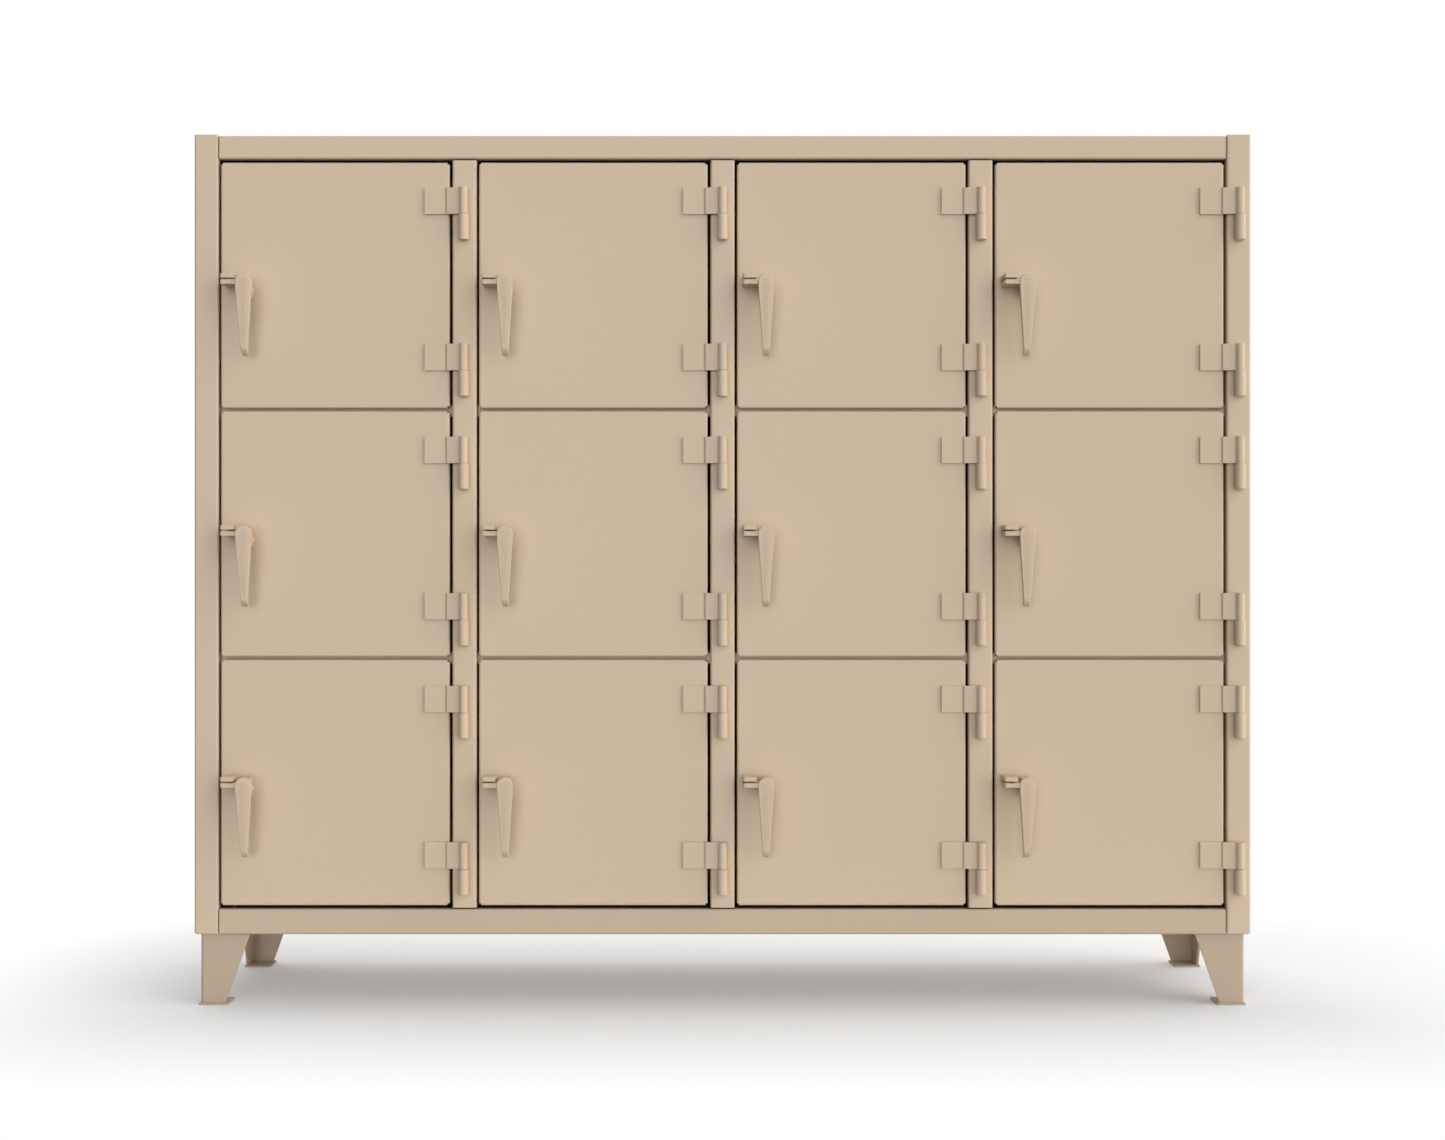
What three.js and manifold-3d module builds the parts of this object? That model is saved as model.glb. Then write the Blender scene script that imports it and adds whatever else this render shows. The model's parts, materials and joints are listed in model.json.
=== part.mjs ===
// Welded steel locker cabinet: four columns of three doors, standing on four bolt-down legs.
// Millimetres, +Z up. The origin is on the floor under the middle of the whole object, and the
// doors face -Y. Columns are numbered from the left, and rows are top, middle and bottom.
import * as THREE from 'three';
import { mergeVertices } from 'three/addons/utils/BufferGeometryUtils.js';
import Module from 'manifold-3d';

const wasm = await Module();
wasm.setup();

// ---------------------------------------------------------------- driving dimensions
const COLUMNS = 4;
const ROWS = ['top', 'middle', 'bottom'];

const HEIGHT = 1828.8;
const DEPTH = 457.2; // steel body only, front frame face to back
const LEG_HEIGHT = 152.4;
const FRAME_FACE = 50.8; // width of every post, mullion, header and sill as seen from the front
const OPENING_WIDTH = 491;
const PITCH = OPENING_WIDTH + FRAME_FACE;
const WIDTH = COLUMNS * PITCH + FRAME_FACE;

const SHEET = 2.7; // 12 gauge
const BEND_RADIUS = 5; // outside radius of the frame's bends
const BEND_STEPS = 3;
const RETURN_DEPTH = 19; // inward flange behind each frame face
const REAR_FLANGE = 25.4;
const GAP = 0.3; // left between welded neighbours, so that no two solids touch

const HEADER_DROP = 1.7; // the header sits this much below the post tops
const SILL_DROP = 2.7; // and the bottom panel this much below the post bottoms
const HEADER_END_GAP = 2;
const MULLION_END_GAP = 3;

const DOOR_GAP_LATCH = 5;
const DOOR_GAP_HINGE = 6;
const DOOR_GAP_END = 7.5; // above the top row and below the bottom row
const DOOR_GAP_ROW = 6;
const DOOR_BEND = 4.5;
const DOOR_NOTCH = 4.5; // square relief cut from each corner of the pan
const DOOR_FLANGE = 19;

const HINGE_STANDOFF = 11.6; // hinge axis in front of the frame face, on the post's centreline
const LEAF_DROPS = [54.4, 381.9]; // top of each hinge leaf, below the top of its door
const LEAF_HEIGHT = 55.3;
const LEAF_THICKNESS = 6;
const LEAF_REACH = 82.3; // free edge of the leaf, from the hinge axis
const CRANK_START = 38.8; // where the leaf leaves the door
const CRANK_END = 8.5; // and where it meets its knuckle
const CRANK_SHIFT = 2.2; // the crank's inner side starts and ends this much nearer the axis
const KNUCKLE_WELD = 10; // width of the weld that holds a lower knuckle to the frame
const UPPER_KNUCKLE_RADIUS = 9.5;
const LOWER_KNUCKLE_RADIUS = 11.1;
const LOWER_KNUCKLE_HEIGHT = 54;
const KNUCKLE_JOINT = 0.5;
const PIN_RADIUS = 6;
const PIN_RISE = 40; // pin above its lower knuckle
const ROUND_SIDES = 12;
const RUNNING_CLEARANCE = 0.12; // between a pin's corners and the flats of its bore

const HANDLE_INSET = 60; // pivot from the latch edge of the door
const HANDLE_REACH = 56; // front of the handle in front of the door
const HEAD_RADIUS = 16.5;
const HEAD_SHOULDER = 14; // below the pivot, where the round head turns into the taper
const GRIP_DROP = 152; // pivot to tip
const TIP_HALF_WIDTH = 7;
const TIP_LENGTH = 12; // straight part at the narrow end
const TIP_CORNER = 0.5;
const HUB_HALF_WIDTH = 12;
const HUB_TOP = 15.5;
const HUB_FOOT_HALF_WIDTH = 7;
const HUB_DROP = 27; // the hub narrows from its sides down to here
const HUB_REACH = 46;
const HUB_CLEARANCE = 1.5; // between a handle and the door that it turns on
const EAR_THICKNESS = 9.5;
const EAR_SLIT = 3.2;
const EAR_NEAR = 20.2; // padlock ears, measured from the pivot towards the latch edge
const EAR_FAR = 48;
const EAR_REACH = 54;
const EAR_HOLE_RADIUS = 5.2;
const EAR_HOLE_INSET = 14; // hole centre from the ear's front edge
const EAR_CORNER = 4;
const EAR_ROOT = 8; // the handle's ear starts inside the hub, this far from the pivot
const CAM_REACH = 58.6;
const CAM_THICKNESS = 5;
const CAM_BACKSET = 21; // front of the cam behind the door face
const CAM_HALF_HEIGHT = 13;
const CAM_TIP_HALF_HEIGHT = 8;
const CAM_CORNER = 4;
const CAM_SHOULDER = 12; // where the cam starts to narrow, from the spindle
const SPINDLE_END = 4; // spindle behind the cam, for its nut

const SHELF_SETBACK = 22;
const SHELF_FLANGE = 25.4;

const LEG_INSET = 15.3;
const LEG_PLATE = 4.8;
const LEG_TOP_WIDTH = 104;
const LEG_BOTTOM_WIDTH = 52;
const FOOT_THICKNESS = 4;
const FOOT_OVERHANG = 7.5;
const FOOT_SIDE = 61;
const ANCHOR_RADIUS = 6.35;

// ---------------------------------------------------------------- derived places
const FRONT = (HANDLE_REACH - DEPTH) / 2; // Y of the frame face, so that the whole depth is centred
const BACK = FRONT + DEPTH;
const LEFT = -WIDTH / 2;
const BODY_BOTTOM = LEG_HEIGHT;
const TOP_SURFACE = HEIGHT - HEADER_DROP;
const BOTTOM_SURFACE = BODY_BOTTOM - SILL_DROP;
const OPENING_TOP = HEIGHT - FRAME_FACE;
const OPENING_BOTTOM = BODY_BOTTOM + FRAME_FACE;
const BACK_PANEL_FRONT = BACK - 2 * SHEET - GAP;

const DOOR_WIDTH = OPENING_WIDTH - DOOR_GAP_LATCH - DOOR_GAP_HINGE;
const ROW_GAPS = (ROWS.length - 1) * DOOR_GAP_ROW;
const DOOR_HEIGHT = (OPENING_TOP - OPENING_BOTTOM - 2 * DOOR_GAP_END - ROW_GAPS) / ROWS.length;

const openingLeft = (column) => LEFT + FRAME_FACE + column * PITCH;
const doorLeft = (column) => openingLeft(column) + DOOR_GAP_LATCH;
const doorTop = (row) => OPENING_TOP - DOOR_GAP_END - row * (DOOR_HEIGHT + DOOR_GAP_ROW);
const hingeAxisX = (column) => openingLeft(column) + OPENING_WIDTH + FRAME_FACE / 2;
const HINGE_Y = FRONT - HINGE_STANDOFF;
const handleX = (column) => doorLeft(column) + HANDLE_INSET;
const handleZ = (row) => doorTop(row) - DOOR_HEIGHT / 2;

// ---------------------------------------------------------------- solids
function toSolid(geometry) {
  const bare = geometry.clone();
  bare.deleteAttribute('normal');
  bare.deleteAttribute('uv');
  const merged = mergeVertices(bare, 1e-4);
  const vertProperties = new Float32Array(merged.attributes.position.array);
  const triVerts = new Uint32Array(merged.index.array);
  return new wasm.Manifold(new wasm.Mesh({ numProp: 3, vertProperties, triVerts }));
}

function toGeometry(solid) {
  const mesh = solid.getMesh();
  const geometry = new THREE.BufferGeometry();
  geometry.setAttribute('position', new THREE.BufferAttribute(mesh.vertProperties, 3));
  geometry.setIndex(new THREE.BufferAttribute(mesh.triVerts, 1));
  geometry.computeVertexNormals();
  return geometry;
}

function block([x0, x1], [y0, y1], [z0, z1]) {
  const geometry = new THREE.BoxGeometry(x1 - x0, y1 - y0, z1 - z0);
  geometry.translate((x0 + x1) / 2, (y0 + y1) / 2, (z0 + z1) / 2);
  return toSolid(geometry);
}

// Extrudes a closed outline of [u, v] points. The axis names the extrusion: 'z' reads them as
// (x, y), 'x' as (y, z), and 'y' as (x, z).
function prism(outline, axis, from, to) {
  const shape = new THREE.Shape(outline.map(([u, v]) => new THREE.Vector2(u, v)));
  const geometry = new THREE.ExtrudeGeometry(shape, { depth: to - from, bevelEnabled: false });
  const X = new THREE.Vector3(1, 0, 0);
  const Y = new THREE.Vector3(0, 1, 0);
  const Z = new THREE.Vector3(0, 0, 1);
  const place = new THREE.Matrix4();
  if (axis === 'z') place.makeTranslation(0, 0, from);
  if (axis === 'x') place.makeBasis(Y, Z, X).setPosition(from, 0, 0);
  if (axis === 'y') place.makeBasis(X, Z, Y.clone().negate()).setPosition(0, to, 0);
  return toSolid(geometry.applyMatrix4(place));
}

const TILT_TO_Z = new THREE.Matrix4().makeRotationX(Math.PI / 2);

function rodZ(x, y, z0, z1, radius) {
  const geometry = new THREE.CylinderGeometry(radius, radius, z1 - z0, ROUND_SIDES);
  geometry.applyMatrix4(TILT_TO_Z);
  geometry.translate(x, y, (z0 + z1) / 2);
  return toSolid(geometry);
}

function rodY(x, z, y0, y1, radius) {
  const geometry = new THREE.CylinderGeometry(radius, radius, y1 - y0, ROUND_SIDES);
  geometry.translate(x, (y0 + y1) / 2, z);
  return toSolid(geometry);
}

// Radius of a bore whose flats clear a pin of the given radius.
const boreFor = (radius) => (radius + RUNNING_CLEARANCE) / Math.cos(Math.PI / ROUND_SIDES);

// Outline of a folded sheet. The path runs along its outer surface, every turn is a right angle
// the same way round, and each becomes a bend.
function foldedSheet(path, bend = BEND_RADIUS) {
  const points = path.map(([u, v]) => new THREE.Vector2(u, v));
  const heading = (i) => points[i + 1].clone().sub(points[i]).normalize();
  const last = points.length - 1;
  const outer = [points[0]];
  const inner = [points[0].clone().addScaledVector(heading(1), SHEET)];
  for (let i = 1; i < last; i += 1) {
    const before = heading(i - 1);
    const after = heading(i);
    const centre = points[i].clone().addScaledVector(before, -bend).addScaledVector(after, bend);
    for (let step = 0; step <= BEND_STEPS; step += 1) {
      const angle = (step / BEND_STEPS) * (Math.PI / 2);
      const arm = before.clone().multiplyScalar(Math.sin(angle)).addScaledVector(after, -Math.cos(angle));
      outer.push(centre.clone().addScaledVector(arm, bend));
      inner.push(centre.clone().addScaledVector(arm, bend - SHEET));
    }
  }
  outer.push(points[last]);
  inner.push(points[last].clone().addScaledVector(heading(last - 2), -SHEET));
  return [...outer, ...inner.reverse()].map((p) => [p.x, p.y]);
}

// ---------------------------------------------------------------- frame and panels
function lowerKnuckle(axisX, leafTop) {
  const top = leafTop - LEAF_HEIGHT - KNUCKLE_JOINT;
  const bottom = top - LOWER_KNUCKLE_HEIGHT;
  const barrel = rodZ(axisX, HINGE_Y, bottom, top, LOWER_KNUCKLE_RADIUS);
  const pin = rodZ(axisX, HINGE_Y, top - PIN_RISE, top + PIN_RISE, PIN_RADIUS);
  const weldSpan = [axisX - KNUCKLE_WELD / 2, axisX + KNUCKLE_WELD / 2];
  const weld = block(weldSpan, [HINGE_Y, FRONT + SHEET / 2], [bottom, top]);
  return barrel.add(pin).add(weld);
}

function addFrameKnuckles(solid, column) {
  let joined = solid;
  ROWS.forEach((_, row) => {
    for (const drop of LEAF_DROPS) {
      joined = joined.add(lowerKnuckle(hingeAxisX(column), doorTop(row) - drop));
    }
  });
  return joined;
}

// Side sheet with the front post, its return, and a rear flange folded from the same steel.
// side is -1 for the left panel and 1 for the right.
function sidePanel(side) {
  const outside = side * (WIDTH / 2);
  const inward = (distance) => outside - side * distance;
  const path = [
    [inward(FRAME_FACE), FRONT + RETURN_DEPTH],
    [inward(FRAME_FACE), FRONT],
    [outside, FRONT],
    [outside, BACK],
    [inward(REAR_FLANGE), BACK],
  ];
  const panel = prism(foldedSheet(path), 'z', BODY_BOTTOM, HEIGHT);
  // The return stops short of the top and bottom sheets, which run over its ends.
  const span = [inward(FRAME_FACE + 1), inward(SHEET + BEND_RADIUS)].sort((a, b) => a - b);
  const behindFace = [FRONT + SHEET + 0.01, FRONT + RETURN_DEPTH + 1];
  const upper = block(span, behindFace, [TOP_SURFACE - SHEET - GAP, HEIGHT + 1]);
  const lower = block(span, behindFace, [BODY_BOTTOM - 1, BOTTOM_SURFACE + SHEET + GAP]);
  return panel.subtract(upper).subtract(lower);
}

// Top or bottom sheet with its face bar (header or sill), the bar's return and a rear flange.
// up is 1 where the bar stands up from the sheet, and -1 where it hangs from it.
function endPanel(surface, faceEnd, up) {
  const path = [
    [BACK, surface + up * REAR_FLANGE],
    [BACK, surface],
    [FRONT, surface],
    [FRONT, faceEnd],
    [FRONT + RETURN_DEPTH, faceEnd],
  ];
  const inside = WIDTH / 2 - SHEET - GAP;
  const full = prism(foldedSheet(path), 'x', -inside, inside);
  const barEnd = WIDTH / 2 - FRAME_FACE - HEADER_END_GAP;
  const flangeEnd = WIDTH / 2 - REAR_FLANGE - GAP;
  const faceZone = [FRONT - 1, FRONT + SHEET + GAP];
  const returnZone = [FRONT - 1, FRONT + RETURN_DEPTH + 1];
  const height = [BOTTOM_SURFACE - 1, HEIGHT + 1];
  const beyondSheet = up > 0 ? [surface + SHEET + 0.01, HEIGHT + 1] : [0, surface - SHEET - 0.01];
  let panel = full;
  for (const side of [-1, 1]) {
    const across = (inner) => [side * inner, side * (WIDTH / 2)].sort((a, b) => a - b);
    panel = panel.subtract(block(across(barEnd), faceZone, height));
    panel = panel.subtract(block(across(barEnd), returnZone, beyondSheet));
    panel = panel.subtract(block(across(flangeEnd), [BACK - BEND_RADIUS - GAP, BACK + 1], height));
    const bendClear = WIDTH / 2 - BEND_RADIUS - GAP;
    panel = panel.subtract(block(across(bendClear), [FRONT - 1, FRONT + BEND_RADIUS + GAP], height));
  }
  return panel;
}

const topPanel = () => endPanel(TOP_SURFACE, OPENING_TOP, -1);
const bottomPanel = () => endPanel(BOTTOM_SURFACE, OPENING_BOTTOM, 1);

// Lies inside the rear flanges, just clear of their bends.
function backPanel() {
  const side = WIDTH / 2 - BEND_RADIUS - GAP;
  const low = BOTTOM_SURFACE + BEND_RADIUS + GAP;
  const high = TOP_SURFACE - BEND_RADIUS - GAP;
  return block([-side, side], [BACK_PANEL_FRONT, BACK_PANEL_FRONT + SHEET], [low, high]);
}

function mullion(index) {
  const x = hingeAxisX(index);
  const half = FRAME_FACE / 2;
  const path = [
    [x - half, FRONT + RETURN_DEPTH],
    [x - half, FRONT],
    [x + half, FRONT],
    [x + half, FRONT + RETURN_DEPTH],
  ];
  const low = OPENING_BOTTOM + MULLION_END_GAP;
  const high = OPENING_TOP - MULLION_END_GAP;
  return addFrameKnuckles(prism(foldedSheet(path), 'z', low, high), index);
}

// Upright sheet behind each mullion, notched at its front corners round the header and sill.
function partition(index) {
  const x = hingeAxisX(index);
  const near = FRONT + SHEET + GAP;
  const notched = FRONT + RETURN_DEPTH + GAP;
  const far = BACK_PANEL_FRONT - GAP;
  const low = BOTTOM_SURFACE + SHEET + GAP;
  const high = TOP_SURFACE - SHEET - GAP;
  const outline = [
    [notched, low],
    [far, low],
    [far, high],
    [notched, high],
    [notched, OPENING_TOP - MULLION_END_GAP],
    [near, OPENING_TOP - MULLION_END_GAP],
    [near, OPENING_BOTTOM + MULLION_END_GAP],
    [notched, OPENING_BOTTOM + MULLION_END_GAP],
  ];
  return prism(outline, 'x', x - SHEET / 2, x + SHEET / 2);
}

// Shelf below the door row with the given index, closing one compartment off from the next.
function shelf(row, column) {
  const atLeft = column === 0;
  const atRight = column === COLUMNS - 1;
  const left = atLeft ? LEFT + SHEET + GAP : hingeAxisX(column - 1) + SHEET / 2 + GAP;
  const right = atRight ? -LEFT - SHEET - GAP : hingeAxisX(column) - SHEET / 2 - GAP;
  const gapCentre = doorTop(row + 1) + DOOR_GAP_ROW / 2;
  const surface = gapCentre + SHELF_FLANGE / 2;
  const near = FRONT + SHELF_SETBACK;
  const far = BACK_PANEL_FRONT - GAP;
  const path = [
    [far, surface - SHELF_FLANGE],
    [far, surface],
    [near, surface],
    [near, surface - SHELF_FLANGE],
  ];
  return prism(foldedSheet(path), 'x', left, right);
}

// Angle leg of two tapered plates on a drilled foot. sideX and sideY are the corner's signs.
function leg(sideX, sideY) {
  const cornerX = sideX * (WIDTH / 2 - LEG_INSET);
  const cornerY = sideY < 0 ? FRONT + LEG_INSET : BACK - LEG_INSET;
  const inX = (distance) => cornerX - sideX * distance;
  const inY = (distance) => cornerY - sideY * distance;
  const low = FOOT_THICKNESS / 2;
  const high = BOTTOM_SURFACE - GAP;
  const taper = (corner, inward) => [
    [corner, low],
    [corner, high],
    [inward(LEG_TOP_WIDTH), high],
    [inward(LEG_BOTTOM_WIDTH), low],
  ];
  const sorted = (a, b) => [Math.min(a, b), Math.max(a, b)];
  const facePlate = prism(taper(cornerX, inX), 'y', ...sorted(cornerY, inY(LEG_PLATE)));
  const sidePlate = prism(taper(cornerY, inY), 'x', ...sorted(cornerX, inX(LEG_PLATE)));
  const footX = sorted(inX(-FOOT_OVERHANG), inX(FOOT_SIDE - FOOT_OVERHANG));
  const footY = sorted(inY(-FOOT_OVERHANG), inY(FOOT_SIDE - FOOT_OVERHANG));
  const foot = block(footX, footY, [0, FOOT_THICKNESS]);
  const anchorInset = (LEG_PLATE + LEG_BOTTOM_WIDTH) / 2;
  const anchor = rodZ(inX(anchorInset), inY(anchorInset), -1, FOOT_THICKNESS + 1, ANCHOR_RADIUS);
  return facePlate.add(sidePlate).add(foot).subtract(anchor);
}

// ---------------------------------------------------------------- doors
function doorPan(left, right, bottom, top) {
  const sides = foldedSheet(
    [
      [left, FRONT + DOOR_FLANGE],
      [left, FRONT],
      [right, FRONT],
      [right, FRONT + DOOR_FLANGE],
    ],
    DOOR_BEND,
  );
  const ends = foldedSheet(
    [
      [FRONT + DOOR_FLANGE, top],
      [FRONT, top],
      [FRONT, bottom],
      [FRONT + DOOR_FLANGE, bottom],
    ],
    DOOR_BEND,
  );
  const upright = prism(sides, 'z', bottom + DOOR_NOTCH, top - DOOR_NOTCH);
  const level = prism(ends, 'x', left + DOOR_NOTCH, right - DOOR_NOTCH);
  return upright.add(level);
}

// Hinge leaf, flat on the door and then cranked out to the knuckle that it carries.
function hingeLeaf(axisX, top) {
  const overlap = FRONT + 0.5;
  const outline = [
    [axisX - LEAF_REACH, overlap],
    [axisX - LEAF_REACH, FRONT - LEAF_THICKNESS],
    [axisX - CRANK_START, FRONT - LEAF_THICKNESS],
    [axisX - CRANK_END, HINGE_Y],
    [axisX - CRANK_END + CRANK_SHIFT, HINGE_Y + LEAF_THICKNESS],
    [axisX - CRANK_START + CRANK_SHIFT, overlap],
  ];
  const bottom = top - LEAF_HEIGHT;
  const plate = prism(outline, 'z', bottom, top);
  const barrel = rodZ(axisX, HINGE_Y, bottom, top, UPPER_KNUCKLE_RADIUS);
  const bore = rodZ(axisX, HINGE_Y, bottom - 1, bottom + PIN_RISE + 2, boreFor(PIN_RADIUS));
  return plate.add(barrel).subtract(bore);
}

// One padlock ear, drilled upright near its front edge, with its outer front corner cut off.
function padlockEar(pivotX, low, nearX, door) {
  const far = pivotX - EAR_FAR;
  const front = FRONT - EAR_REACH;
  const outline = [
    [far, door],
    [far, front + EAR_CORNER],
    [far + EAR_CORNER, front],
    [nearX, front],
    [nearX, door],
  ];
  const high = low + EAR_THICKNESS;
  const holeX = pivotX - (EAR_FAR + EAR_NEAR) / 2;
  const hole = rodZ(holeX, front + EAR_HOLE_INSET, low - 1, high + 1, EAR_HOLE_RADIUS);
  return prism(outline, 'z', low, high).subtract(hole);
}

function door(row, column) {
  const left = doorLeft(column);
  const top = doorTop(row);
  const pivotX = handleX(column);
  const pivotZ = handleZ(row);
  let solid = doorPan(left, left + DOOR_WIDTH, top - DOOR_HEIGHT, top);
  for (const drop of LEAF_DROPS) solid = solid.add(hingeLeaf(hingeAxisX(column), top - drop));
  const earLow = pivotZ + EAR_THICKNESS / 2 + EAR_SLIT;
  solid = solid.add(padlockEar(pivotX, earLow, pivotX - EAR_NEAR, FRONT + SHEET / 2));
  return solid.subtract(rodY(pivotX, pivotZ, FRONT - 1, FRONT + SHEET + 1, boreFor(PIN_RADIUS)));
}

// ---------------------------------------------------------------- handles and latches
// Front outline of the grip about its pivot: a round head that tapers to a narrow tip.
function gripOutline() {
  const points = [];
  const steps = 10;
  for (let step = 0; step <= steps; step += 1) {
    const angle = (step / steps) * Math.PI;
    points.push([HEAD_RADIUS * Math.cos(angle), HEAD_RADIUS * Math.sin(angle)]);
  }
  const shoulder = HEAD_RADIUS - TIP_CORNER;
  const tip = TIP_HALF_WIDTH - TIP_CORNER;
  points.push([-shoulder, -HEAD_SHOULDER]);
  points.push([-TIP_HALF_WIDTH, -GRIP_DROP + TIP_LENGTH]);
  points.push([-tip, -GRIP_DROP - 1]);
  points.push([tip, -GRIP_DROP - 1]);
  points.push([TIP_HALF_WIDTH, -GRIP_DROP + TIP_LENGTH]);
  points.push([shoulder, -HEAD_SHOULDER]);
  return points;
}

// Side outline of the grip as [distance in front of the door, height above the pivot]. It leans
// in towards the door as it drops, and its tip curls back.
const GRIP_SIDE = [
  [43, HEAD_RADIUS],
  [54, HEAD_RADIUS],
  [HANDLE_REACH, 12],
  [HANDLE_REACH, -12],
  [47.5, -138],
  [45, -146],
  [40, -151],
  [34, -GRIP_DROP],
  [33.5, -146],
  [36.5, -140],
  [37.5, -132],
  [44, -12],
];

function handle(row, column) {
  const x = handleX(column);
  const z = handleZ(row);
  const front = prism(
    gripOutline().map(([u, v]) => [x + u, z + v]),
    'y',
    FRONT - HANDLE_REACH - 1,
    FRONT,
  );
  const side = prism(
    GRIP_SIDE.map(([reach, rise]) => [FRONT - reach, z + rise]),
    'x',
    x - HEAD_RADIUS - 1,
    x + HEAD_RADIUS + 1,
  );
  const hubOutline = [
    [x + HUB_HALF_WIDTH, z + HUB_TOP],
    [x - HUB_HALF_WIDTH, z + HUB_TOP],
    [x - HUB_HALF_WIDTH, z - HUB_HALF_WIDTH],
    [x - HUB_FOOT_HALF_WIDTH, z - HUB_DROP],
    [x + HUB_FOOT_HALF_WIDTH, z - HUB_DROP],
    [x + HUB_HALF_WIDTH, z - HUB_HALF_WIDTH],
  ];
  const hub = prism(hubOutline, 'y', FRONT - HUB_REACH, FRONT - HUB_CLEARANCE);
  const ear = padlockEar(x, z - EAR_THICKNESS / 2, x - EAR_ROOT, FRONT - HUB_CLEARANCE - 1);
  const spindleBack = FRONT + CAM_BACKSET + CAM_THICKNESS + SPINDLE_END;
  const spindle = rodY(x, z, FRONT - HUB_REACH / 2, spindleBack, PIN_RADIUS);
  return front.intersect(side).add(hub).add(ear).add(spindle);
}

// Latch tongue on the spindle's inner end. It stops just short of the frame's return flange.
function latchCam(row, column) {
  const x = handleX(column);
  const z = handleZ(row);
  const near = FRONT + CAM_BACKSET;
  const outline = [
    [x + CAM_HALF_HEIGHT - CAM_CORNER, z - CAM_HALF_HEIGHT],
    [x + CAM_HALF_HEIGHT, z - CAM_HALF_HEIGHT + CAM_CORNER],
    [x + CAM_HALF_HEIGHT, z + CAM_HALF_HEIGHT - CAM_CORNER],
    [x + CAM_HALF_HEIGHT - CAM_CORNER, z + CAM_HALF_HEIGHT],
    [x - CAM_SHOULDER, z + CAM_HALF_HEIGHT],
    [x - CAM_REACH, z + CAM_TIP_HALF_HEIGHT],
    [x - CAM_REACH, z - CAM_TIP_HALF_HEIGHT],
    [x - CAM_SHOULDER, z - CAM_HALF_HEIGHT],
  ];
  const eye = rodY(x, z, near - 1, near + CAM_THICKNESS + 1, boreFor(PIN_RADIUS + GAP));
  return prism(outline, 'y', near, near + CAM_THICKNESS).subtract(eye);
}

// ---------------------------------------------------------------- the assembly
const PAINT = { color: 0xc9b59b, roughness: 0.55, metalness: 0 };
const ZINC = { color: 0xb9bcc0, roughness: 0.4, metalness: 1 };
const cabinet = new THREE.Group();

function place(name, solid, finish = PAINT) {
  const mesh = new THREE.Mesh(toGeometry(solid), new THREE.MeshStandardMaterial(finish));
  mesh.name = name;
  cabinet.add(mesh);
}

place('side_panel_left', sidePanel(-1));
place('side_panel_right', addFrameKnuckles(sidePanel(1), COLUMNS - 1));
place('top_panel', topPanel());
place('bottom_panel', bottomPanel());
place('back_panel', backPanel());
for (let index = 0; index < COLUMNS - 1; index += 1) {
  place(`mullion_${index + 1}`, mullion(index));
  place(`partition_${index + 1}`, partition(index));
}
for (const [word, sideX] of [['left', -1], ['right', 1]]) {
  place(`leg_front_${word}`, leg(sideX, -1));
  place(`leg_rear_${word}`, leg(sideX, 1));
}
ROWS.forEach((rowName, row) => {
  for (let column = 0; column < COLUMNS; column += 1) {
    const label = `${rowName}_${column + 1}`;
    if (row < ROWS.length - 1) place(`shelf_${label}`, shelf(row, column));
    place(`door_${label}`, door(row, column));
    place(`handle_${label}`, handle(row, column));
    place(`latch_cam_${label}`, latchCam(row, column), ZINC);
  }
});

export default cabinet;
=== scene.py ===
# %% [markdown]
# # A welded steel locker cabinet
# Four columns of three doors stand on four bolt-down legs. Everything is folded sheet steel with a
# few castings, and all of it wears one sand-coloured powder coat.
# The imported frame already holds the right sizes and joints. Here each piece is modelled again with
# its real bends, chamfers and welds, and rides on the body that moves it.

import json
import math
from contextlib import contextmanager

import bmesh
import bpy
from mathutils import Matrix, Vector


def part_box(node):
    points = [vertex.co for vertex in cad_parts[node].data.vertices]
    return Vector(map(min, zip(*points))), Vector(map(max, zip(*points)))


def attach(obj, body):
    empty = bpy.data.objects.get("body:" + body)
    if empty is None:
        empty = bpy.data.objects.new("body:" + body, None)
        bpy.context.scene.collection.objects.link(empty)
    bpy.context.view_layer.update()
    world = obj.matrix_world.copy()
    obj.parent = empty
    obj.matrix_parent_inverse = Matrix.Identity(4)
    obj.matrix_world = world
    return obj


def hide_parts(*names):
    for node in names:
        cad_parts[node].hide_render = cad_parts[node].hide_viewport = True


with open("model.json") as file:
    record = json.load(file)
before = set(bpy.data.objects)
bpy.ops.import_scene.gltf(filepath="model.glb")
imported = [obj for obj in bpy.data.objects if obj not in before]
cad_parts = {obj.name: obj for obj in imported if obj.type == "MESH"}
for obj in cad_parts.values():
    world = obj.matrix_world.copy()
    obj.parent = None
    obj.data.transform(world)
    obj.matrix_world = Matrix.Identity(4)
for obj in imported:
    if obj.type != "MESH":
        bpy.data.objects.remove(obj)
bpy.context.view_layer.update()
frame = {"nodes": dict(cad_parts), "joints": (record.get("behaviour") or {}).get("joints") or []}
MM = 0.001

# %% [markdown]
# ## Sizes from the frame
# Nothing is measured twice. The outer faces, the openings and the hinge axes are read from the boxes
# and joints of the frame, and only sizes too small to read there are given here.

# %% Read the main sizes
side_low, side_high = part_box("side_panel_left")
top_low, top_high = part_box("top_panel")
bottom_low, bottom_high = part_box("bottom_panel")
door_low, door_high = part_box("door_top_1")
partition_low, partition_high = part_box("partition_1")

FRONT, BACK = side_low.y, side_high.y
HALF_WIDTH = -side_low.x
POST_BOTTOM, POST_TOP = side_low.z, side_high.z
FRAME_FACE = side_high.x - side_low.x
TOP_SURFACE, OPENING_TOP = top_high.z, top_low.z
BOTTOM_SURFACE, OPENING_BOTTOM = bottom_low.z, bottom_high.z
SHEET = partition_high.x - partition_low.x
FLANGE = door_high.y - FRONT

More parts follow.
